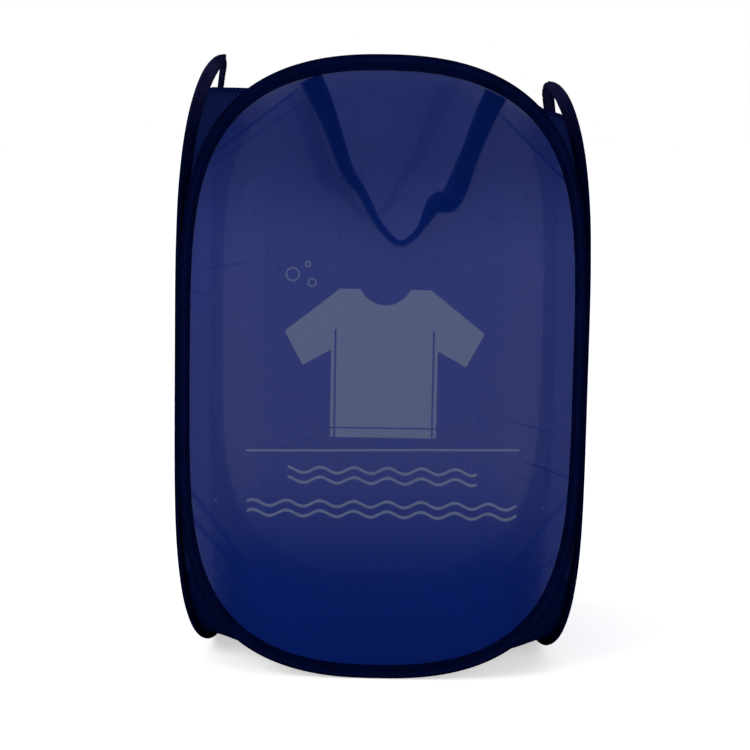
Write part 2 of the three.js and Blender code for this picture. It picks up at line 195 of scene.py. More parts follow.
# The square lamps: where each is, what it aims at, its width, and its power in watts.
LAMPS = {
    "key": ((-1.7, -2.2, 1.7), (0, 0, 0.25), 1.3, 46),
    "fill": ((1.9, -2.3, 1.2), (0, 0, 0.3), 1.6, 18),
}
# How bright the surroundings are, how much light the floor gives off, and half its width.
SURROUNDINGS = 0.62
FLOOR_GLOW = 0.55
FLOOR_REACH = 14


def a_length(name, description, default):
    return FloatProperty(name=name, description=description, default=default, unit="LENGTH")


def an_angle(name, description, degrees):
    return FloatProperty(
        name=name, description=description, default=math.radians(degrees), subtype="ANGLE")


def a_colour(name, description, *default):
    return FloatVectorProperty(name=name, description=description, default=default, subtype="COLOR")


class HamperShape(bpy.types.PropertyGroup):
    """Sizes of the hamper's cloth, tape and webbing."""

    half_width: a_length(
        "Panel Half Width", "From a panel's middle to the outside of its tape", FRONT_HIGH.x)
    height: a_length("Panel Height", "Height of the front, left and back panels", FRONT_HIGH.z)
    right_height: a_length("Right Panel Height", "Height of the right panel", RIGHT_HIGH.z)
    front_lean: a_length(
        "Front Lean", "How far the front and back draw in at the top and foot", 0.016)
    side_lean: a_length("Side Lean", "How far the sides draw in at the top and foot", 0.027)
    fold_radius: a_length("Tape Fold", "Radius of the tape where it folds round the wire", 0.00245)
    arc_band: a_length("Tape on the Arcs", "Width of the tape at the top and foot of a panel", 0.014)
    side_band: a_length(
        "Tape on the Sides", "Width of the tape where panels are sewn together", 0.010)
    near_tilt: an_angle("Near Tape Tilt", "Turn of a side panel's tape at the front corners", 66)
    far_tilt: an_angle("Far Tape Tilt", "Turn of a side panel's tape at the back corners", 20)
    left_top_tilt: an_angle(
        "Left Top Tilt", "Turn of the left panel's tape at the top of its arc", 30)
    right_top_tilt: an_angle(
        "Right Top Tilt", "Turn of the right panel's tape at the top of its arc", 62)
    top_curl: an_angle("Top Curl", "How far the tape droops over the open tops of the sides", 75)
    front_tilt: an_angle(
        "Front Tape Tilt", "Turn of the front and back panels' tape at the corners", 14)
    hem_drop: a_length("Hem Drop", "From the top of a side panel down to its cloth", 0.034)
    hem_height: a_length("Hem Height", "Height of the folded hems", 0.0055)
    pucker: a_length("Pucker Depth", "Depth of the gathers along the tape", 0.0011)
    webbing_width: a_length("Webbing Width", "Width of the handles", 0.020)
    webbing_thickness: a_length("Webbing Thickness", "Thickness of the handles", 0.0012)
    handle_left: a_length("Handle Left End", "From the panel's middle to the left end", -0.06999)
    handle_right: a_length("Handle Right End", "From the panel's middle to the right end", 0.10203)
    handle_drop: a_length("Handle Drop", "How far a handle's loop hangs", 0.137)
    stations: IntProperty(name="Stations", description="Steps round each panel", default=480)


class HamperColours(bpy.types.PropertyGroup):
    """Colours of the hamper and of the stage it stands on."""

    cloth: a_colour("Nylon", "Colour of the panel cloth", 0.0006, 0.0105, 0.1080)
    glow: a_colour(
        "Nylon Against Light", "Colour that the cloth lets through", 0.0360, 0.0680, 0.3850)
    corner: a_colour("Corner Nylon", "Colour of the corners' doubled cloth", 0.0022, 0.0050, 0.0280)
    base: a_colour("Base Nylon", "Colour of the coated base cloth", 0.0008, 0.0035, 0.0260)
    tape: a_colour("Edge Tape", "Colour of the folded tape", 0.0006, 0.0014, 0.0120)
    # The tape over the open tops, painted paler: painted light from above.
    painted_top_light: a_colour("Painted Light on Tape", "Colour of the tape over the open tops", 0.0150, 0.0135, 0.0480)
    hem: a_colour("Hem", "Colour of the hems", 0.0010, 0.0030, 0.0220)
    webbing: a_colour("Webbing", "Colour of the handles", 0.0008, 0.0018, 0.0140)
    ink: a_colour("Print", "Colour of the print on the front", 0.075, 0.090, 0.165)
    steel: a_colour("Spring Steel", "Colour of the wire and ferrules", 0.42, 0.43, 0.44)
    floor: a_colour("Floor", "Colour of the floor", 0.86, 0.86, 0.87)


def shape():
    return bpy.context.scene.hamper_shape


def colours():
    return bpy.context.scene.hamper_colours


def hump(value, low, high):
    """A smooth hump that is 0 at low and high and 1 half way."""
    if not low < value < high:
        return 0.0
    return math.sin(math.pi * (value - low) / (high - low)) ** 2


def mix(one, two, share):
    return one + (two - one) * share


def drift(x, y, z):
    """A smooth random value, always the same at the same place."""
    return noise.noise(Vector((x, y, z)))


def distances(places):
    """How far each place lies along the line through all of them."""
    made = [0.0]
    for one, two in zip(places, places[1:]):
        made.append(made[-1] + (Vector(two) - Vector(one)).length)
    return made


class Panel:
    """A sprung oval panel, the way it faces, and the places on it."""

    def __init__(self, name, facing, height, lean, tilts, foot_tilts, open_top):
        self.name = name
        self.body = f"{name}_panel"
        self.tape = f"{name}_edge_tape"
        self.facing = math.radians(facing)
        self.height = height
        self.lean = lean
        self.tilts = [(FLAT_TURN, 0), *tilts, (180 - FLAT_TURN, 0)]
        self.foot_tilts = foot_tilts
        self.open_top = open_top
        self.outward = Vector((math.sin(self.facing), -math.cos(self.facing), 0))
        self.distance = shape().half_width - shape().fold_radius + CORNER_SPACING / math.sqrt(2)

    def lean_at(self, height):
        """How far the panel has drawn in, which follows the outline's own narrowing."""
        width, half = shape().half_width, self.height / 2
        rise = min(1, abs((height - half) / half))
        narrowing = width * (1 - (1 - rise ** UP_POWER) ** (1 / ACROSS_POWER))
        return self.lean * narrowing / width * (width + LEAN_EASE) / (narrowing + LEAN_EASE)

    def place(self, across, lift, height):
        """A place by its way across, its way out from the panel's own face, and its height."""
        out = self.distance - self.lean_at(height) + lift
        cosine, sine = math.cos(self.facing), math.sin(self.facing)
        return Vector((across * cosine + out * sine, across * sine - out * cosine, height))

    def outline(self, turn, inset):
        """Across, height and the outward direction at a turn from the right hand side."""
        angle, half, width = math.radians(turn), self.height / 2, shape().half_width
        cosine, sine = math.cos(angle), math.sin(angle)
        across = math.copysign(abs(cosine) ** (2 / ACROSS_POWER), cosine)
        rise = math.copysign(abs(sine) ** (2 / UP_POWER), sine)
        outward = Vector((
            math.copysign(ACROSS_POWER * abs(across) ** (ACROSS_POWER - 1), across) / width,
            math.copysign(UP_POWER * abs(rise) ** (UP_POWER - 1), rise) / half,
        )).normalized()
        spot = Vector((across * width, half + rise * half)) - outward * inset
        return spot, outward

    def band_width(self, turn):
        rise = abs(math.sin(math.radians(turn))) ** (2 / UP_POWER)
        return mix(shape().side_band, shape().arc_band, rise ** 2.5)

    def tilt(self, turn):
        """How far the corner cloth and the twist of the wire turn the tape inward."""
        turn = (turn + 180) % 360 - 180
        if turn < -90:
            return self.foot_tilts[1] * hump(-180 - turn, FOOT_TURN, FLAT_TURN)
        if turn < FLAT_TURN:
            return self.foot_tilts[0] * hump(turn, FOOT_TURN, FLAT_TURN)
        for start, end in zip(self.tilts, self.tilts[1:]):
            if start[0] <= turn <= end[0]:
                way = (turn - start[0]) / (end[0] - start[0])
                return mix(start[1], end[1], 0.5 - 0.5 * math.cos(math.pi * way))
        return 0.0

    def curl(self, turn):
        """How far the tape droops over its width, which it does where no cloth holds it."""
        return shape().top_curl * hump(turn, *OPEN_TURNS) if self.open_top else 0.0

    def band(self, turn, inset, lift):
        """A place on the tape, by its way in from the outer edge and its height over the middle."""
        fold, curl = shape().fold_radius, self.curl(turn)
        reach = inset - fold
        outer = self.tilt(turn) + curl / 2
        here, level, inward = outer, reach * math.cos(outer), reach * math.sin(outer)
        if curl > 0.01 and reach > 0:
            bend = curl / (self.band_width(turn) - fold)
            here = outer - bend * reach
            level = (math.sin(outer) - math.sin(here)) / bend
            inward = (math.cos(here) - math.cos(outer)) / bend
        spot, _ = self.outline(turn, fold + level + lift * math.sin(here))
        return self.place(spot.x, lift * math.cos(here) - inward, spot.y)

    def inner_face(self, inset, turn):
        """The tape's inner face, by its way out from the middle."""
        start = shape().fold_radius * 1.5
        share = (inset - start) / (self.band_width(turn) - start)
        return mix(FOLD_FACE, EDGE_FACE, max(0, min(1, share)))

    def sewn(self, turn, inset):
        """A place in the tape's inner face where other cloth is sewn to it."""
        return self.band(turn, inset, SEWN_DEPTH - self.inner_face(inset, turn))

    def top_turn(self, across):
        """The turn on the top arc that lies so far across."""
        share = abs(across) / shape().half_width
        turn = math.degrees(math.acos(share ** (ACROSS_POWER / 2)))
        return 180 - turn if across < 0 else turn


def panels():
    """The four panels, each with the tilt of its tape at turns from the right hand side to the left."""
    size = shape()
    near, far, front = size.near_tilt, size.far_tilt, size.front_tilt
    left_top, right_top = size.left_top_tilt, size.right_top_tilt
    shut = [(44, front), (90, front * 0.2), (136, front)]
    left = [(26, near), (68, near), (90, left_top), (136, far)]
    right = [(44, right_top), (90, right_top), (112, near), (154, near)]
    feet = (front / 2, front / 2)
    made = (
        Panel("front", 0, size.height, size.front_lean, shut, feet, False),
        Panel("right", 90, size.right_height, size.side_lean, right, (far / 2, near / 2), True),
        Panel("back", 180, size.height, size.front_lean, shut, feet, False),
        Panel("left", 270, size.height, size.side_lean, left, (near / 2, far / 2), True),
    )
    return {panel.name: panel for panel in made}


# Materials

class Socket:
    """A value in a shader's nodes, on which arithmetic adds Math nodes."""

    def __init__(self, shader, link):
        self.shader = shader
        self.link = link

    def math(self, operation, *values):
        inputs = dict(enumerate([self, *values]))
        return self.shader.node("ShaderNodeMath", inputs, operation=operation)

    def __add__(self, other):
        return self.math("ADD", other)

    def __sub__(self, other):
        return self.math("SUBTRACT", other)

    def __rsub__(self, other):
        return self.shader.node("ShaderNodeMath", {0: other, 1: self}, operation="SUBTRACT")

    def __mul__(self, other):
        return self.math("MULTIPLY", other)

    def __truediv__(self, other):
        return self.math("DIVIDE", other)

    def __rtruediv__(self, other):
        return self.shader.node("ShaderNodeMath", {0: other, 1: self}, operation="DIVIDE")

    def __pow__(self, other):
        return self.math("POWER", other)

    __radd__ = __add__
    __rmul__ = __mul__

    def other(self, output):
        """Another output of the same node."""
        return Socket(self.shader, self.link.node.outputs[output])

    def size(self):
        return self.math("ABSOLUTE")

    def wave(self, pitch):
        """A sine wave along the value, from -1 to 1."""
        return (self * (2 * math.pi / pitch)).math("SINE")

    def ramp(self, low, high):
        """0 below low, 1 above high, and smooth between them."""
        values = {"Value": self, "From Min": low, "From Max": high}
        return self.shader.node("ShaderNodeMapRange", values, interpolation_type="SMOOTHSTEP")


class Shader:
    """The nodes of one material or of the world."""

    def __init__(self, owner):
        self.owner = owner
        self.owner.use_nodes = True
        self.tree = self.owner.node_tree
        self.tree.nodes.clear()

    def node(self, kind, inputs=None, output=0, **settings):
        """Adds a node, sets it up, and gives its sockets their values or links."""
        made = self.tree.nodes.new(kind)
        for key, value in settings.items():
            setattr(made, key, value)
        for key, value in (inputs or {}).items():
            if isinstance(value, Socket):
                self.tree.links.new(value.link, made.inputs[key])
            else:
                made.inputs[key].default_value = value
        return Socket(self, made.outputs[output]) if made.outputs else None

    def finish(self, surface, kind="ShaderNodeOutputMaterial"):
        self.node(kind, {"Surface": surface})
        return self.owner

    def mix(self, share, one, two):
        """A colour between two, each a colour or a socket."""
        full = [value if isinstance(value, Socket) else (*value, 1) for value in (one, two)]
        return self.node("ShaderNodeMix", {0: share, 6: full[0], 7: full[1]}, 2, data_type="RGBA")

    def mix_surfaces(self, share, one, two):
        return self.node("ShaderNodeMixShader", {0: share, 1: one, 2: two})

    def cut(self):
        """Metres across and along the flat cut of the cloth or tape, and both as one vector."""
        flat = self.node("ShaderNodeUVMap", uv_map="Cut")
        across = self.node("ShaderNodeSeparateXYZ", {0: flat})
        return across, across.other(1), flat

    def vectors(self, operation, one, two):
        return self.node("ShaderNodeVectorMath", {0: one, 1: two}, operation=operation)

    def noise(self, vector, scale, detail, roughness=0.5):
        inputs = {"Vector": vector, "Scale": scale, "Detail": detail, "Roughness": roughness}
        return self.node("ShaderNodeTexNoise", inputs)

    def bump(self, height, strength, distance=1.0):
        inputs = {"Height": height, "Distance": distance, "Strength": strength}
        return self.node("ShaderNodeBump", inputs)

    def face(self, colour, roughness, bump, gloss=0.0):
        """A lit surface with next to no gloss."""
        return self.node("ShaderNodeBsdfPrincipled", {
            "Base Color": colour, "Roughness": roughness, "Normal": bump,
            "Specular IOR Level": gloss,
        })

    def glowing(self, bump):
        """The light that comes through cloth."""
        inputs = {"Color": (*colours().glow, 1), "Normal": bump}
        return self.node("ShaderNodeBsdfTranslucent", inputs)

    def in_sight(self):
        """1 for what the camera sees, straight or through the cloth, and 0 for what lights it."""
        seen = self.node("ShaderNodeLightPath")
        return most(seen, seen.other("Is Glossy Ray"), seen.other("Is Transmission Ray"))


def most(*masks):
    """The largest of some masks."""
    made = masks[0]
    for mask in masks[1:]:
        made = made.math("MAXIMUM", mask)
    return made


def tint(colour, share):
    """A colour made darker or paler."""
    return [value * share for value in colour]


def woven(across, along, pitch):
    """The height of a plain weave: threads that cross over and under each other."""
    return across.wave(pitch) * along.wave(pitch)


def half_plane(across, along, start, end):
    """1 to the left of a line from start to end, 0 to its right."""
    way = (Vector(end) - Vector(start)).normalized()
    apart = (along - start[1]) * way.x - (across - start[0]) * way.y
    return apart.ramp(-PRINT_EDGE, PRINT_EDGE)


def convex(across, along, corners):
    """1 inside a convex outline whose corners run anticlockwise."""
    inside = half_plane(across, along, corners[-1], corners[0])
    for start, end in zip(corners, corners[1:]):
        inside = inside * half_plane(across, along, start, end)
    return inside


def round_spot(across, along, centre, radius):
    """1 inside a circle."""
    apart = ((across - centre[0]) ** 2.0 + (along - centre[1]) ** 2.0) ** 0.5
    return apart.ramp(radius + PRINT_EDGE, radius - PRINT_EDGE)


def within(across, reach):
    """1 as far as the reach to each side of the print's middle."""
    return (across - PRINT_MIDDLE).size().ramp(reach + PRINT_EDGE, reach - PRINT_EDGE)


def shirt_print(across, along):
    """A plain outline of a T-shirt, cut out of solid ink."""
    width = (across - PRINT_MIDDLE).size()
    body = convex(width, along, [(-0.01, 0.224), (0.047, 0.224), (0.047, 0.3504), (0.040, 0.356),
                                 (-0.01, 0.356)])
    sleeve = convex(width, along, [(0.040, 0.356), (0.040, 0.306), (0.072, 0.288), (0.088, 0.318)])
    neck = round_spot(width, along, (0.0, 0.366), 0.024)
    seam = convex(width, along, [(0.0425, 0.2), (0.0440, 0.2), (0.0440, 0.32), (0.0425, 0.32)])
    hem = convex(width, along, [(-0.01, 0.2320), (0.05, 0.2320), (0.05, 0.2332), (-0.01, 0.2332)])
    return most(body, sleeve) * (1.0 - most(neck, seam, hem))


def wave_print(across, along, height, reach):
    """Two waves, one above the other, as wide as the reach to each side."""
    line = across.wave(0.030) * 0.0026
    upper, lower = (
        (along - line - (height + rise)).size().ramp(0.0018, 0.0010) for rise in (0.0045, -0.0045)
    )
    return most(upper, lower) * within(across, reach)


def front_print(s, across, along, flat):
    """The ink of the front panel's print: a T-shirt, bubbles, a rule and waves."""
    rings = [
        round_spot(across, along, centre, radius)
        * (1.0 - round_spot(across, along, centre, radius - BUBBLE_LINE))
        for centre, radius in BUBBLES
    ]
    rule = (along - 0.2128 - across * 0.019).size().ramp(0.0013, 0.0007) * within(across, RULE_REACH)
    waves = [wave_print(across, along, height, reach) for height, reach in WAVES]
    worn = s.noise(flat, 420, 3, 0.6).ramp(0.22, 0.42)
    return most(shirt_print(across, along), *rings, rule, *waves) * (0.72 + 0.28 * worn)


def fold_lines(across, along):
    """1 along the sharp folds of the front cloth, where it lies double."""
    lines = []
    for start, end, width, depth in FRONT_CREASES[:SHARP_CREASES]:
        way = Vector(end) - Vector(start)
        length, way = way.length, way.normalized()
        over = (across - start[0]) * way.x + (along - start[1]) * way.y
        apart = ((across - start[0]) * way.y - (along - start[1]) * way.x).size()
        line = apart.ramp(width * 0.75, 0.0) * over.ramp(-SHARP_FADE, SHARP_FADE)
        line = line * over.ramp(length + SHARP_FADE, length - SHARP_FADE)
        lines.append(line * (abs(depth) / SHARP_DEPTH))
    return most(*lines)


def crackle(s, flat):
    """Thin broken lines, as thin nylon has where it was folded away."""
    strayed = s.vectors("MULTIPLY", s.noise(flat, 22, 3).other(1), (0.014, 0.014, 0.0))
    place = s.vectors("ADD", flat, strayed)
    cells = s.node("ShaderNodeTexVoronoi", {"Vector": place, "Scale": 34.0},
                   feature="DISTANCE_TO_EDGE")
    broken = s.noise(flat, 30, 2).ramp(0.48, 0.66)
    return cells.ramp(0.035, 0.0) * broken


def painted_gap_light_and_shade(across, along, high):
    """How much light the front's gaps show, set by place as painted shade and painted light: less near
    its top and low in its middle, more at its sides.
    """
    side = across.size().ramp(0.090, 0.150)
    low = along.ramp(0.225, 0.080) * (1.0 - 0.95 * side)
    return (1.0 - 0.40 * high) * (1.0 - 0.85 * low) * (1.0 + 0.45 * side)


def nylon(s, printed=False):
    """Thin woven nylon: light glows through its threads and shines between them."""
    across, along, flat = s.cut()
    cloth = colours().cloth
    streaks = s.noise(s.vectors("MULTIPLY", flat, (1.0, 0.06, 1.0)), 900, 2)
    slubs = s.noise(s.vectors("MULTIPLY", flat, (0.05, 1.0, 1.0)), 700, 2)
    crumple = s.noise(flat, 26, 5, 0.6)
    cloud = s.noise(flat, 6, 2)
    crinkle = crackle(s, flat)
    shade = 0.5 * streaks + 0.3 * slubs + 0.5 * cloud - 0.15
    colour = s.mix(shade.ramp(0.2, 0.8), tint(cloth, 0.88), tint(cloth, 1.14))
    gaps = 0.15 + 0.03 * (streaks - 0.5) + 0.02 * (slubs - 0.5)
    gaps = gaps * (1.0 - 0.18 * crinkle)
    crisp, light_through = 0.50, 0.35
    if printed:
        ink = front_print(s, across, along, flat)
        high = along.ramp(0.38, 0.48)
        colour = s.mix(ink, colour, colours().ink)
        # Painted shade: the cloth's colour is darkened towards its top, and less light glows through it
        # there.
        colour = s.mix(high * 0.6, colour, tint(cloth, 0.3))
        gaps = gaps * (1.0 - 0.6 * ink) * (1.0 - 0.75 * fold_lines(across, along))
        # Painted shade near the top and low in the middle, and painted light at the sides, through the
        # share of the gaps.
        gaps = gaps * painted_gap_light_and_shade(across, along, high)
        crisp, light_through = 0.22, 0.35 * (1.0 - 0.8 * ink) * (1.0 - 0.4 * high)
    height = woven(across, along, THREAD_PITCH) * 0.00004 + crumple * 0.0022 + streaks * 0.00006
    bump = s.bump(height + slubs * 0.00005 - 0.0003 * crinkle, 0.8)
    face = s.face(colour, 0.50 + 0.16 * cloud, bump, 0.01)
    hazy = s.node("ShaderNodeBsdfRefraction", {
        "Color": (0.95, 0.96, 1.0, 1), "Roughness": 0.8, "IOR": 1.15,
    }, distribution="BECKMANN")
    clear = s.node("ShaderNodeBsdfTransparent", {"Color": (0.95, 0.96, 1.0, 1)})
    lit = s.mix_surfaces(light_through, face, s.glowing(bump))
    return s.mix_surfaces(gaps, lit, s.mix_surfaces(crisp, hazy, clear))


def corner_nylon(s):
    """The corners' nylon, folded double, so that little light comes through."""
    across, along, flat = s.cut()
    cloth = colours().corner
    crumple = s.noise(s.vectors("MULTIPLY", flat, (1.0, 0.35, 1.0)), 60, 4, 0.6)
    cloud = s.noise(flat, 14, 2)
    colour = s.mix(cloud.ramp(0.3, 0.7), cloth, tint(cloth, 1.25))
    bump = s.bump(woven(across, along, THREAD_PITCH) * 0.00004 + crumple * 0.0016, 0.8)
    face = s.face(colour, 0.52 + 0.16 * cloud, bump)
    return s.mix_surfaces(0.10 + 0.08 * (crumple - 0.5), face, s.glowing(bump))


def coated_nylon(s):
    """The base's heavier nylon, coated on one side, which lets no light through."""
    across, along, flat = s.cut()
    cloth = colours().base
    crumple = s.noise(flat, 22, 5, 0.6)
    cloud = s.noise(flat, 7, 2)
    colour = s.mix(cloud.ramp(0.3, 0.7), tint(cloth, 0.85), cloth)
    height = woven(across, along, 0.0011) * 0.00005 + crumple * 0.0018
    return s.face(colour, 0.45 + 0.2 * cloud, s.bump(height, 0.8))


def stitch_rows(across, along, rows, length):
    """A mask of running stitches on lines along the tape."""
    dash = ((along / length).math("FRACT") - 0.5).size().ramp(0.36, 0.30)
    return dash * most(*[(across - row).size().ramp(0.00042, 0.00022) for row in rows])


def edge_tape(s, open_top=False):
    """Matt ribbed tape with rows of stitches near its inner edges; over the open tops its colour is
    painted paler, a painted light from above.
    """
    across, along, flat = s.cut()
    cloth = colours().tape
    fuzz = s.noise(flat, 1400, 2)
    wear = s.noise(flat, 35, 4, 0.6)
    stitches = stitch_rows(across, along, (0.0054, -0.0054, 0.0072, -0.0072), 0.0032)
    tape = s.mix((wear * 0.7 + fuzz * 0.4).ramp(0.35, 0.75), tint(cloth, 0.8), tint(cloth, 1.5))
    # Over the open tops the tape's colour is painted paler, a painted light from above, broken up by
    # noise.
    if open_top:
        painted_top_light = (along - TOP_RUN).size().ramp(0.17, 0.05) * (0.55 + 0.9 * (wear - 0.5))
        tape = s.mix(painted_top_light, tape, colours().painted_top_light)
    colour = s.mix(stitches * 0.8, tape, tint(colours().hem, 2.2))
    height = along.wave(0.0011) * 0.00005 + fuzz * 0.00006 + wear * 0.0006 + stitches * 0.00022
    return s.face(colour, 0.62 + 0.2 * fuzz, s.bump(height, 0.9))


def hem_fold(s):
    """Nylon folded over on itself and sewn down."""
    across, along, flat = s.cut()
    cloth = colours().hem
    fuzz = s.noise(flat, 900, 2)
    wear = s.noise(flat, 60, 3)
    stitches = stitch_rows(across, along, (-0.0042, 0.0042), 0.0028)
    fold = s.mix((wear * 0.8 + fuzz * 0.3).ramp(0.35, 0.75), tint(cloth, 0.85), tint(cloth, 1.3))
    colour = s.mix(stitches * 0.7, fold, tint(colours().cloth, 1.6))
    height = woven(across, along, THREAD_PITCH) * 0.00004 + wear * 0.0008 + stitches * 0.0002
    return s.face(colour, 0.6 + 0.15 * fuzz, s.bump(height, 0.9))


def webbing(s, box_stitch=False):
    """Woven webbing with a herringbone face and firm edges."""
    across, along, flat = s.cut()
    cloth = colours().webbing
    chevron = (along + across.size()).wave(0.0024)
    fuzz = s.noise(flat, 1500, 2)
    colour = s.mix((chevron * 0.25 + fuzz).ramp(0.3, 0.8), tint(cloth, 0.7), tint(cloth, 1.6))
    height = chevron * 0.00008 + across.wave(0.0016) * 0.00006 + fuzz * 0.00006
    if box_stitch:
        cross = (along.size() - across.size()).size().ramp(0.0006, 0.0003)
        rows = stitch_rows(across, along, (-0.0075, 0.0075), 0.0026)
        thread = most(cross * across.size().ramp(0.0075, 0.0072), rows)
        colour = s.mix(thread * 0.7, colour, tint(colours().hem, 1.8))
        height = height + thread * 0.0002
    return s.face(colour, 0.66 + 0.2 * fuzz, s.bump(height, 0.9))


def spring_steel(s):
    """Drawn wire with fine die marks and dull patches."""
    spot = s.node("ShaderNodeTexCoord", output=3)
    patches = s.noise(spot, 90, 3)
    colour = s.mix(patches.ramp(0.4, 0.7), tint(colours().steel, 0.8), colours().steel)
    return s.node("ShaderNodeBsdfPrincipled", {
        "Base Color": colour, "Metallic": 1.0, "Roughness": 0.26 + 0.2 * patches,
        "Normal": s.bump(s.noise(spot, 2200, 2), 0.6, 0.00004),
    })


def studio_floor(s):
    """A white floor that keeps the hamper's shadow."""
    spot = s.node("ShaderNodeTexCoord", output=3)
    colour = s.mix(s.noise(spot, 9, 3), tint(colours().floor, 0.99), colours().floor)
    inputs = {"Base Color": colour, "Roughness": 0.9, "Specular IOR Level": 0.1}
    lit = s.node("ShaderNodeBsdfPrincipled", inputs)
    white = s.node("ShaderNodeEmission", {"Color": (1, 1, 1, 1), "Strength": FLOOR_GLOW})
    return s.mix_surfaces(s.in_sight(), lit, s.node("ShaderNodeAddShader", {0: lit, 1: white}))


MADE = {}


def material(maker, name, *values):
    """The material of that name, made the first time it is asked for."""
    if name not in MADE:
        shader = Shader(bpy.data.materials.new(name))
        MADE[name] = shader.finish(maker(shader, *values))
    return MADE[name]


# Meshes

def add_piece(name, rows, cuts, look, body, looped=False):
    """A mesh through rows of places, with the flat cut of each place as its UV map."""
    width = len(rows[0])
    mesh = bpy.data.meshes.new(name)
    faces = []
    for row in range(len(rows) - 1):
        for column in range(width if looped else width - 1):
            after = (column + 1) % width
            faces.append((row * width + column, row * width + after,
                          (row + 1) * width + after, (row + 1) * width + column))
    mesh.from_pydata([place for row in rows for place in row], [], faces)
    layer = mesh.uv_layers.new(name="Cut")
    flat = [spot for row in cuts for spot in row]
    for loop, spot in zip(mesh.loops, layer.data):
        spot.uv = flat[loop.vertex_index]
    mesh.polygons.foreach_set("use_smooth", [True] * len(mesh.polygons))
    mesh.materials.append(look)
    mesh.update()
    piece = bpy.data.objects.new(name, mesh)
    bpy.context.scene.collection.objects.link(piece)
    if body:
        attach(piece, body)
    return piece


def rework(piece, change):
    """Changes a piece's mesh in place."""
    work = bmesh.new()
    work.from_mesh(piece.data)
    change(work)
    work.to_mesh(piece.data)
    work.free()
    piece.data.update()


def weld(work):
    """Joins places that coincide, such as a sheet's middle and the seam where it closes."""
    bmesh.ops.remove_doubles(work, verts=work.verts, dist=WELD_REACH)


def close_ends(work):
    """Fills the open ends and the open underside of a folded strip."""
    bmesh.ops.holes_fill(work, edges=[edge for edge in work.edges if edge.is_boundary], sides=0)


def flat_area(piece):
    """The area of a piece's cut, from its UV map."""
    total = 0.0
    layer = piece.data.uv_layers["Cut"].data
    for polygon in piece.data.polygons:
        spots = [layer[loop].uv for loop in polygon.loop_indices]
        total += abs(sum(
            one.x * two.y - two.x * one.y for one, two in zip(spots, spots[1:] + spots[:1])
        )) / 2
    return total


def declare_sheet(piece, seam=0.0):
    """Works out the size that a piece's cut has with its seams, as a sheet of cloth; the result is not
    used.
    """
    spots = [item.uv for item in piece.data.uv_layers["Cut"].data]
    width = max(spot.x for spot in spots) - min(spot.x for spot in spots) + seam
    length = max(spot.y for spot in spots) - min(spot.y for spot in spots)
    whole = width * length
    area = max(LEAST_AREA * whole, min(flat_area(piece) + seam * length, whole))


# The edge tapes

def tape_section(panel, turn):
    """The folded tape's section: inner edge, stitched leg, fold round the wire, and back."""
    width, fold = panel.band_width(turn), shape().fold_radius
    leg = [(width, 0.0009), (width - 0.0004, 0.0014), (width - 0.0022, 0.0013),
           (width - 0.0032, 0.00155), (mix(fold * 2.1, width, 0.3), 0.00165), (fold * 2.0, 0.0016)]
    arc = [(fold + fold * math.cos(math.radians(a)), fold * math.sin(math.radians(a)))
           for a in (52, 80, 110, 145, 180, 215, 250, 280, 308)]
    return leg + arc + [(inset, -lift) for inset, lift in reversed(leg)]


def strip_cut(section, run):
    """The flat cut of a folded strip's section, measured from its middle."""
    ways = distances(section)
    return [(way - ways[-1] / 2, run) for way in ways]


def add_tape(panel, body):
    """The tape folded round one panel's edge and wire."""
    steps, seed = shape().stations, panel.facing * 7
    turns = [-90 + 360 * step / steps for step in range(steps + 1)]
    runs = distances([panel.band(turn, shape().fold_radius, 0) for turn in turns])
    rows, cuts = [], []
    for step, (turn, run) in enumerate(zip(turns, runs)):
        section, row = tape_section(panel, turn), []
        around = step % steps / steps * TAPE_AROUND
        for inset, lift in section:
            loose = max(0, inset - 2.2 * shape().fold_radius) / panel.band_width(turn)
            ripple = drift(around * 95, seed, 0.3) * 0.0007 * loose
            ripple += drift(around * 210, seed, 7.3 + 9 * (lift > 0)) * 0.0004 * loose
            shift = drift(around * 130, seed, 4.1) * 0.0004 * loose
            row.append(panel.band(turn, inset + shift, lift + ripple))
        rows.append(row)
        cuts.append(strip_cut(section, run))
    look = ("open_edge_tape", True) if panel.open_top else ("edge_tape",)
    piece = add_piece(panel.tape, rows, cuts, material(edge_tape, *look), body, looped=True)
    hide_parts(f"{panel.name}_binding")
    return piece


# The panels' cloth and hems

def crease_lift(spot, creases):
    """The lift that straight creases give to a place on a panel."""
    lift = 0.0
    for start, end, width, depth in creases:
        start, way = Vector(start), Vector(end) - Vector(start)
        along = (spot - start).dot(way) / way.length_squared
        if -0.2 < along < 1.2:
            apart = (spot - start - way * along).length
            if apart < 3 * width:
                taper = math.sin(math.pi * (along + 0.2) / 1.4) ** 2
                lift += depth * taper * math.exp(-(apart / width) ** 2)
    return lift


def cloth_lift(panel, turn, gap, spot, creases):
    """How far the panel's cloth stands off its smooth face."""
    fold = shape().fold_radius
    tilt, band = panel.tilt(turn), panel.band_width(turn)
    edge = fold + (band - fold) * math.cos(tilt)
    beyond = max(0.0, gap - edge)
    lift = -(min(gap, edge) - fold) * math.tan(tilt) * math.exp(-beyond / TILT_REACH)
    seed = panel.facing * 3 + 1.7
    run = math.radians(turn) * GATHER_RUN
    gather = drift(run * 62, beyond * 16, seed) + 0.6 * drift(run * 130, beyond * 25, seed + 5)
    free = 1 - math.exp(-beyond / GATHER_REACH)
    lift += (gather * shape().pucker * (1 - math.exp(-beyond / GATHER_START))
             * math.exp(-beyond / GATHER_REACH))
    lift += drift(spot.x * 9, spot.y * 5, seed) * 0.0022 * free
    lift += drift(spot.x * 30, spot.y * 22, seed + 2) * 0.0006 * free
    return lift + crease_lift(spot, creases) * min(1, beyond / CREASE_START)


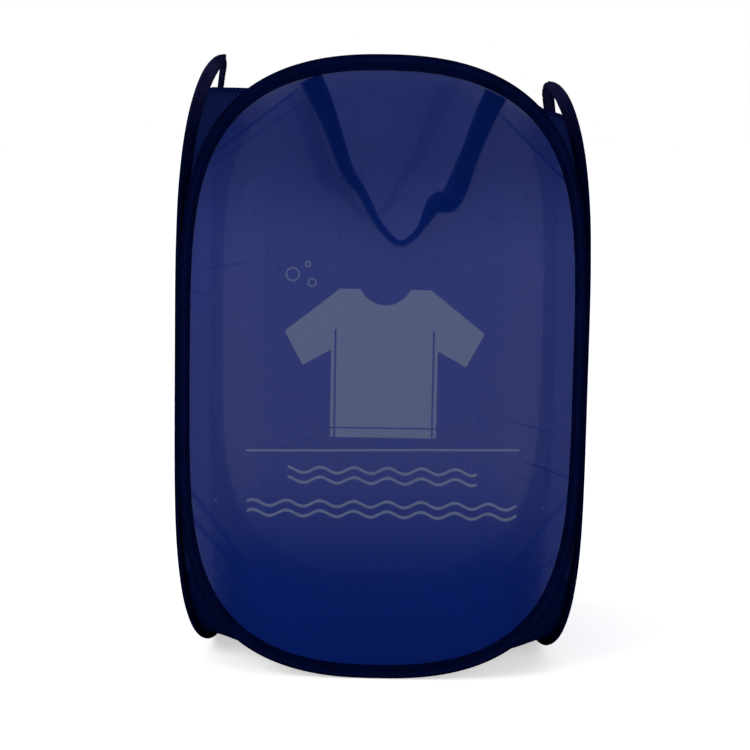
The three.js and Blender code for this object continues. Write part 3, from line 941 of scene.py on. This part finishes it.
def random_creases(panel):
    """Creases for a panel that has no list of its own, the same each time."""
    made = []
    for index in range(OTHER_CREASES):
        value = [drift(index * 3.7, key * 2.3, panel.facing + 0.5) for key in range(4)]
        corner = Vector((math.copysign(OTHER_PLACE, value[0]), 0.08 + 0.4 * (index % 4) / 3))
        way = Vector((-math.copysign(0.05, corner.x), -0.06 if index % 2 else 0.05))
        start = corner + Vector((0, value[1] * 0.1))
        end = start + way * (0.7 + value[2])
        made.append((start, end, OTHER_WIDTH, math.copysign(OTHER_DEPTH, value[3])))
    return made


def edge_gap(ray, outward, share):
    """How far a place part way along a ray from a panel's middle lies in from the outline."""
    slant = max(0.3, ray.normalized().dot(outward))
    return CLOTH_INSET + (1 - share) * ray.length * slant


def add_cloth(panel, body):
    """The sheet of nylon that one panel's tape holds, cut straight where the panel has a hem."""
    steps = shape().stations * 3 // 4
    middle = Vector((0, panel.height / 2))
    hem_top = panel.height - shape().hem_drop
    printed = panel.name == "front"
    creases = FRONT_CREASES if printed else random_creases(panel)
    rows, cuts = [], []
    for step in range(steps + 1):
        turn = -90 + 360 * (step % steps) / steps
        edge, outward = panel.outline(turn, CLOTH_INSET)
        ray, reach = edge - middle, 1.0
        if panel.open_top and edge.y > hem_top:
            reach = (hem_top - middle.y) / ray.y
        row, cut = [], []
        for ring in range(CLOTH_RINGS + 1):
            share = reach * (1 - (1 - ring / CLOTH_RINGS) ** 1.25)
            spot = middle + ray * share
            gap = edge_gap(ray, outward, share)
            lift = cloth_lift(panel, turn, gap, spot, creases) if ring else 0.0
            row.append(panel.place(spot.x, lift, spot.y))
            cut.append((spot.x, spot.y))
        rows.append(row)
        cuts.append(cut)
    look = material(nylon, "printed_nylon", True) if printed else material(nylon, "nylon")
    piece = add_piece(f"{panel.name}_cloth", rows, cuts, look, body)
    rework(piece, weld)
    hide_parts(f"{panel.name}_fabric")
    declare_sheet(piece)
    return piece


def hem_section(height):
    """A strip folded over a free edge and sewn down, from one lower edge over the top to the other."""
    front = [(0.0008, -height), (0.00125, -height + 0.0005), (0.0011, -height + 0.0014),
             (0.0013, -height * 0.5), (0.0012, -0.0003), (0.0008, 0.0006)]
    return front + [(0.0, 0.0009)] + [(-lift, rise) for lift, rise in reversed(front)]


def add_hem(name, stations, body, node):
    """A hem along stations, each a place on the edge, the way out and the way down."""
    height = shape().hem_height
    section = hem_section(height)
    rows, cuts = [], []
    for (place, out, down), run in zip(stations, distances([place for place, _, _ in stations])):
        wave = drift(run * 70, len(name), 0.2) * 0.0005
        rows.append([
            place + out * (lift + wave * min(1, max(0, -rise / height))) - down * rise
            for lift, rise in section
        ])
        cuts.append(strip_cut(section, run))
    piece = add_piece(name, rows, cuts, material(hem_fold, "hem"), body)
    rework(piece, close_ends)
    if node:
        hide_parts(node)
    return piece


def add_side_hem(panel, body, steps=60):
    """The straight hem below a side panel's hand opening."""
    height, turn = panel.height - shape().hem_drop, 30.0
    while panel.outline(turn, panel.band_width(turn))[0].y < height + 0.001:
        turn += 0.25
    half = panel.outline(turn, panel.band_width(turn))[0].x - 0.0005
    out = panel.place(0, 1, 0) - panel.place(0, 0, 0)
    stations = []
    for step in range(steps + 1):
        across = mix(-half, half, step / steps)
        lift = hem_lift(panel, across)
        place = panel.place(across, lift, height)
        below = panel.place(across, lift, height - 0.004)
        stations.append((place, out, (below - place).normalized()))
    return add_hem(f"{panel.name}_cloth_hem", stations, body, f"{panel.name}_hem")


def hem_lift(panel, across):
    """How far the free edge of a side panel's cloth stands off its smooth face."""
    middle = Vector((0, panel.height / 2))
    spot = Vector((across, panel.height - shape().hem_drop))
    rise = spot.y - middle.y
    low, high = (0.0, 90.0) if across >= 0 else (180.0, 90.0)
    for _ in range(24):
        turn = (low + high) / 2
        edge, outward = panel.outline(turn, CLOTH_INSET)
        ray = edge - middle
        if abs(ray.x) * rise / ray.y > abs(across) or ray.y < rise:
            low = turn
        else:
            high = turn
    gap = edge_gap(ray, outward, min(1.0, rise / ray.y))
    return cloth_lift(panel, turn, gap, spot, random_creases(panel))


# The corners' cloth

def gusset_edge(panel, turn):
    """Where a corner's cloth is sewn to a tape: near its inner edge high on a side panel."""
    inset = GUSSET_INSET
    if panel.open_top:
        above = min(1, max(0, (min(turn, 180 - turn) - EDGE_TURN) / EDGE_SPAN))
        inset = mix(BASE_INSET, panel.band_width(turn) - 0.001, above)
    return panel.sewn(turn, inset)


def turn_at(start, end, share):
    """A turn between two, by even steps up the panel's height."""
    low, high = (
        math.copysign(abs(math.sin(math.radians(turn))) ** (2 / UP_POWER), turn)
        for turn in (start, end)
    )
    rise = mix(low, high, share)
    return math.degrees(math.asin(math.copysign(abs(rise) ** (UP_POWER / 2), rise)))


def gusset_rows(leading, trailing, leading_top):
    """Rows of places on a corner's cloth, from its hem to its foot, bowed in along its middle."""
    edges = []
    for row in range(GUSSET_ROWS + 1):
        share = row / GUSSET_ROWS
        edges.append((gusset_edge(leading, turn_at(leading_top, GUSSET_FOOT, share)),
                      gusset_edge(trailing, 180 - turn_at(GUSSET_TOP, GUSSET_FOOT, share))))
    runs = distances([(start + end) / 2 for start, end in edges])
    rows, cuts = [], []
    for row, ((start, end), run) in enumerate(zip(edges, runs)):
        way = end - start
        inward = -Vector((start.x + end.x, start.y + end.y, 0)).normalized()
        bow = way.length * GUSSET_BOW
        sink = bow * min(1, (1 - row / GUSSET_ROWS) / 0.08)
        places, cut = [], []
        for column in range(GUSSET_COLUMNS + 1):
            across = column / GUSSET_COLUMNS
            crumple = drift(across * 3.1, run * 26, leading.facing + 0.4)
            crumple += 0.5 * drift(across * 6.3, run * 60, leading.facing + 3.4)
            depth = math.sin(math.pi * across) * (sink + crumple * min(0.0035, bow))
            places.append(start + way * across + inward * depth)
            cut.append(((across - 0.5) * way.to_2d().length, (across - 0.5) * way.z - run))
        rows.append(places)
        cuts.append(cut)
    return rows, cuts


def hem_stations(rows, leading):
    """Places along the top row, with the way out and the way down the cloth."""
    diagonal = leading.facing + math.pi / 4
    out = Vector((math.sin(diagonal), -math.cos(diagonal), 0))
    return [(place, out, (below - place).normalized()) for place, below in zip(rows[0], rows[1])]


def add_corner_cloth(corner, part, rows, cuts, body=None, side="", first=True):
    """One stretch of a corner's cloth. The first upper one takes the place of the CAD's."""
    start, end = GUSSET_PARTS[part]
    cloth = add_piece(f"{corner}_{part}_corner_cloth{side}", rows[start:end + 1],
                      cuts[start:end + 1], material(corner_nylon, "corner_nylon"), body)
    if first and part == "upper":
        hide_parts(f"{corner}_gusset")
    declare_sheet(cloth, seam=SEAM_ALLOWANCE)
    return cloth


def add_gusset(corner, leading, trailing, leading_top):
    """A corner's cloth and hem: wide at its ends and a seam between."""
    rows, cuts = gusset_rows(leading, trailing, leading_top)
    pieces = [add_corner_cloth(corner, part, rows, cuts) for part in GUSSET_PARTS]
    stations = hem_stations(rows, leading)[1:-1]
    return pieces + [add_hem(f"{corner}_corner_hem", stations, None, f"{corner}_gusset_hem")]


def add_split_gusset(corner, leading, trailing, leading_top):
    """A corner's cloth and hem in halves that part down the middle as the panels fold."""
    rows, cuts = gusset_rows(leading, trailing, leading_top)
    half = GUSSET_COLUMNS // 2
    halves = {}
    for panel, part in ((leading, slice(0, half + 1)), (trailing, slice(half, None))):
        first = panel is leading
        half_rows, half_cuts = [row[part] for row in rows], [cut[part] for cut in cuts]
        pieces = halves[panel.name] = [
            add_corner_cloth(corner, name, half_rows, half_cuts, panel.body,
                             f"_{panel.name}", first)
            for name in ("upper", "lower")
        ]
        stations = hem_stations(rows, leading)[part]
        stations = stations[1:] if first else stations[:-1]
        node = f"{corner}_gusset_hem" if first else None
        pieces.append(add_hem(f"{corner}_corner_hem_{panel.name}", stations, panel.body, node))
    return halves, add_corner_cloth(corner, "seam", rows, cuts, trailing.body)


# The base

def base_arc(panel, steps):
    """The base cloth's sewn edge along one bottom arc, from the panel's left to its right."""
    return [panel.sewn(mix(-156, -24, step / steps), BASE_INSET) for step in range(steps + 1)]


def base_places(steps=72):
    """Rows of places on the base cloth, slack in the middle and drawn up to its corners."""
    front, right, back, left = (base_arc(panel, steps) for panel in panels().values())
    back.reverse()
    left.reverse()
    for one, at, two, end in ((front, 0, left, 0), (front, -1, right, 0),
                              (back, 0, left, -1), (back, -1, right, -1)):
        one[at] = two[end] = (one[at] + two[end]) / 2
    lowest = min(place.z for edge in (front, right, back, left) for place in edge) - BASE_SAG
    rest = Vector((0, 0, lowest))

    def draw(share):
        return Vector((share, share, max(0, 2 * share - 1) ** 2.5))

    def pull(place, *draws):
        drawn = place - rest
        for each in draws:
            drawn = Vector((drawn.x * each.x, drawn.y * each.y, drawn.z * each.z))
        return drawn

    rows, cuts = [], []
    for row in range(steps + 1):
        to_back, to_front = draw(row / steps), draw(1 - row / steps)
        places, cut = [], []
        for column in range(steps + 1):
            to_right, to_left = draw(column / steps), draw(1 - column / steps)
            place = rest + pull(front[column], to_front) + pull(back[column], to_back)
            place += pull(left[row], to_left) + pull(right[row], to_right)
            place -= pull(front[0], to_front, to_left) + pull(front[-1], to_front, to_right)
            place -= pull(back[0], to_back, to_left) + pull(back[-1], to_back, to_right)
            free = min(1, min(row, column, steps - row, steps - column) / steps * 12)
            ripple = drift(place.x * 14, place.y * 14, 2.2) * 0.0022
            ripple += drift(place.x * 42, place.y * 42, 5.2) * 0.0007
            place.z = max(BASE_HEIGHT, place.z + ripple * free)
            places.append(place)
            cut.append((place.x * BASE_SLACK, place.y * BASE_SLACK))
        rows.append(places)
        cuts.append(cut)
    return rows, cuts


# Handles

def strap_section(width, thickness):
    """A flat band with soft edges, as places across and through it."""
    half, thick = width / 2, thickness / 2
    soft = thick * 0.9
    return [(-half + soft, thick), (-half * 0.4, thick), (half * 0.4, thick), (half - soft, thick),
            (half, thick * 0.35), (half, -thick * 0.35), (half - soft, -thick),
            (half * 0.4, -thick), (-half * 0.4, -thick), (-half + soft, -thick),
            (-half, -thick * 0.35), (-half, thick * 0.35)]


def spline(values, share):
    """A smooth curve through values at even steps."""
    at = share * (len(values) - 1)
    index = min(int(at), len(values) - 2)
    t = at - index
    p = [values[max(0, min(len(values) - 1, index + step))] for step in (-1, 0, 1, 2)]
    return 0.5 * (2 * p[1] + (p[2] - p[0]) * t + (2 * p[0] - 5 * p[1] + 4 * p[2] - p[3]) * t * t
                  + (3 * p[1] - p[0] - 3 * p[2] + p[3]) * t ** 3)


def handle_end(panel, across):
    """Where a handle's loop leaves its sewn end, just inside the tape."""
    turn = panel.top_turn(across)
    spot, _ = panel.outline(turn, panel.band_width(turn) + 0.0003 + shape().webbing_thickness / 2)
    return panel.place(spot.x, -LOOP_DEPTH, spot.y)


def add_webbing(name, rows, cuts, look, body, node):
    piece = add_piece(name, rows, cuts, material(webbing, *look), body, looped=True)
    rework(piece, close_ends)
    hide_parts(node)
    return piece


def add_strap(panel, body, steps=120):
    """A handle's loop, hanging flat from its ends and turned edge on further down."""
    size = shape()
    left, right = handle_end(panel, size.handle_left), handle_end(panel, size.handle_right)
    down = Vector((0, 0, -1))
    inward = (right - left).cross(down).normalized()
    section = strap_section(size.webbing_width, size.webbing_thickness)

    def place(share):
        across = spline(LOOP_ACROSS, share)
        return left.lerp(right, across) + down * size.handle_drop * spline(LOOP_DOWN, share)

    shares = [step / steps for step in range(steps + 1)]
    rows, cuts = [], []
    for share, run in zip(shares, distances([place(share) for share in shares])):
        along = (place(min(1, share + 0.004)) - place(max(0, share - 0.004))).normalized()
        twist = spline(LOOP_TWIST, share) * math.pi / 2
        side = inward.cross(along).normalized()
        wide = side * math.cos(twist) + inward * math.sin(twist)
        thick = wide.cross(along).normalized()
        rows.append([place(share) + wide * across + thick * through for across, through in section])
        cuts.append([(across, run) for across, _ in section])
    return add_webbing(f"{panel.name}_webbing_loop", rows, cuts, ("webbing",), body,
                       f"{panel.name}_handle_strap")


def add_tab(panel, side, across, body, steps=12):
    """A handle's end, folded over and sewn to the inside of the tape."""
    half_width = shape().webbing_width / 2
    middle = panel.top_turn(across)
    half = panel.top_turn(across - half_width) - middle
    rows, cuts = [], []
    for step in range(steps + 1):
        turn = middle + half * (step / (steps / 2) - 1)
        deep, top = panel.band_width(turn), shape().fold_radius + 0.002
        centre, way = mix(top, deep, 0.5), mix(-half_width, half_width, step / steps)
        row, cut = [], []
        for inset, extra in ((top, 0), (deep, 0), (deep + 0.0005, 0.0003), (deep + 0.0005, 0.0010),
                             (deep, 0.0013), (centre, 0.00145), (top, 0.0013), (top - 0.0004, 0.0007)):
            lift = -(panel.inner_face(inset, turn) + 0.0002 + extra)
            row.append(panel.band(turn, inset, lift))
            cut.append((inset - centre, way))
        rows.append(row)
        cuts.append(cut)
    return add_webbing(f"{panel.name}_webbing_end_{side}", rows, cuts, ("webbing_end", True), body,
                       f"{panel.name}_handle_tab_{side}")


# Operators

def give_way(piece):
    """Bakes a side panel's tape or cloth into its mesh, leaving it no transform."""
    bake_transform(piece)


class HAMPER_OT_edge_tapes(bpy.types.Operator):
    """Fold the tape round every panel's edge"""

    bl_idname = "hamper.edge_tapes"
    bl_label = "Add Edge Tapes"

    def execute(self, context):
        for panel in panels().values():
            piece = add_tape(panel, None if panel.open_top else panel.body)
            if panel.open_top:
                give_way(piece)
        return {"FINISHED"}


class HAMPER_OT_panel_cloths(bpy.types.Operator):
    """Stretch the nylon over every panel and hem the two side panels"""

    bl_idname = "hamper.panel_cloths"
    bl_label = "Add Panel Cloths"

    def execute(self, context):
        for panel in panels().values():
            piece = add_cloth(panel, None if panel.open_top else panel.body)
            if panel.open_top:
                give_way(piece)
                add_side_hem(panel, panel.body)
        return {"FINISHED"}


class HAMPER_OT_corner_gussets(bpy.types.Operator):
    """Sew the cloth into the four corners"""

    bl_idname = "hamper.corner_gussets"
    bl_label = "Add Corner Gussets"

    def execute(self, context):
        side = panels()
        for corner, leading, trailing, top in BENDING_CORNERS:
            for piece in add_gusset(corner, side[leading], side[trailing], top):
                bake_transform(piece)
        corner, leading, trailing, top = SPLIT_CORNER
        halves, seam = add_split_gusset(corner, side[leading], side[trailing], top)
        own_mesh(seam)
        for piece in halves["right"]:
            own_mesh(piece)
        for piece in halves["back"]:
            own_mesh(piece)
        return {"FINISHED"}


class HAMPER_OT_base_cloth(bpy.types.Operator):
    """Hang the base cloth between the four bottom arcs"""

    bl_idname = "hamper.base_cloth"
    bl_label = "Add Base Cloth"

    def execute(self, context):
        rows, cuts = base_places()
        look = material(coated_nylon, "coated_nylon")
        piece = add_piece("base_cloth", rows, cuts, look, "front_panel")
        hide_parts("base_fabric")
        declare_sheet(piece)
        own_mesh(piece)
        return {"FINISHED"}


class HAMPER_OT_handles(bpy.types.Operator):
    """Hang the two webbing handles and sew down their ends"""

    bl_idname = "hamper.handles"
    bl_label = "Add Handles"

    def execute(self, context):
        for panel in panels().values():
            if not panel.open_top:
                add_strap(panel, f"{panel.name}_handle")
                add_tab(panel, "left", shape().handle_left, panel.body)
                add_tab(panel, "right", shape().handle_right, panel.body)
        return {"FINISHED"}


class HAMPER_OT_spring_wires(bpy.types.Operator):
    """Give the wires and ferrules their steel"""

    bl_idname = "hamper.spring_wires"
    bl_label = "Finish Spring Wires"

    def execute(self, context):
        for name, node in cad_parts.items():
            if name.endswith(("_wire", "_ferrule")):
                node.data.materials.clear()
                node.data.materials.append(material(spring_steel, "spring_steel"))
        return {"FINISHED"}


def add_lamp(name, place, aim, size, power):
    lamp = bpy.data.lights.new(name, "AREA")
    lamp.shape = "RECTANGLE"
    lamp.size, lamp.size_y = size, size
    lamp.energy = power
    holder = bpy.data.objects.new(name, lamp)
    holder.location = place
    holder.rotation_euler = (Vector(aim) - Vector(place)).to_track_quat("-Z", "Y").to_euler()
    bpy.context.scene.collection.objects.link(holder)


def add_camera():
    down, aside, roll = (math.radians(turn) for turn in CAMERA_TURNS)
    data = bpy.data.cameras.new("camera")
    data.sensor_width = CAMERA_SENSOR
    data.lens = CAMERA_LENS
    camera = bpy.data.objects.new("camera", data)
    camera.location = CAMERA_PLACE
    aim = Euler((math.pi / 2 - down, 0, aside)).to_matrix()
    camera.rotation_euler = (aim @ Matrix.Rotation(roll, 3, "Z")).to_euler()
    bpy.context.scene.collection.objects.link(camera)
    bpy.context.scene.camera = camera


def make_surroundings():
    """An even white that lights the hamper softly and shows pure white behind it."""
    s = Shader(bpy.data.worlds.new("studio"))
    dim = s.node("ShaderNodeBackground", {"Color": (1, 1, 1, 1), "Strength": SURROUNDINGS})
    white = s.node("ShaderNodeBackground", {"Color": (1, 1, 1, 1)})
    return s.finish(s.mix_surfaces(s.in_sight(), dim, white), "ShaderNodeOutputWorld")


class HAMPER_OT_stage(bpy.types.Operator):
    """Set up the floor, the lamps, the surroundings and the camera"""

    bl_idname = "hamper.stage"
    bl_label = "Set Up Stage"

    def execute(self, context):
        ends = (-FLOOR_REACH, FLOOR_REACH)
        floor = add_piece("floor", [[Vector((x, y, 0)) for x in ends] for y in ends],
                          [[(x, y) for x in (0, 1)] for y in (0, 1)],
                          material(studio_floor, "studio_floor"), None)
        context.scene.world = make_surroundings()
        for name, values in LAMPS.items():
            add_lamp(name, *values)
        add_camera()
        context.scene.view_settings.view_transform = "Standard"
        return {"FINISHED"}


class HAMPER_PT_panel(bpy.types.Panel):
    """The hamper's sizes, colours and pieces"""

    bl_idname = "HAMPER_PT_panel"
    bl_label = "Pop Up Laundry Hamper"
    bl_space_type = "VIEW_3D"
    bl_region_type = "UI"
    bl_category = "Hamper"

    def draw(self, context):
        column = self.layout.column()
        for group in (context.scene.hamper_shape, context.scene.hamper_colours):
            for name in group.__annotations__:
                column.prop(group, name)
        for operator in OPERATORS:
            column.operator(operator.bl_idname)


OPERATORS = (
    HAMPER_OT_stage, HAMPER_OT_edge_tapes, HAMPER_OT_panel_cloths, HAMPER_OT_corner_gussets,
    HAMPER_OT_base_cloth, HAMPER_OT_handles, HAMPER_OT_spring_wires,
)
CLASSES = (HamperShape, HamperColours, *OPERATORS, HAMPER_PT_panel)


def register():
    for each in CLASSES:
        bpy.utils.register_class(each)
    bpy.types.Scene.hamper_shape = PointerProperty(type=HamperShape)
    bpy.types.Scene.hamper_colours = PointerProperty(type=HamperColours)


def unregister():
    del bpy.types.Scene.hamper_colours
    del bpy.types.Scene.hamper_shape
    for each in reversed(CLASSES):
        bpy.utils.unregister_class(each)


def main():
    register()
    bpy.ops.hamper.stage()
    bpy.ops.hamper.edge_tapes()
    bpy.ops.hamper.panel_cloths()
    bpy.ops.hamper.corner_gussets()
    bpy.ops.hamper.base_cloth()
    bpy.ops.hamper.handles()
    bpy.ops.hamper.spring_wires()


if __name__ == "__main__":
    main()
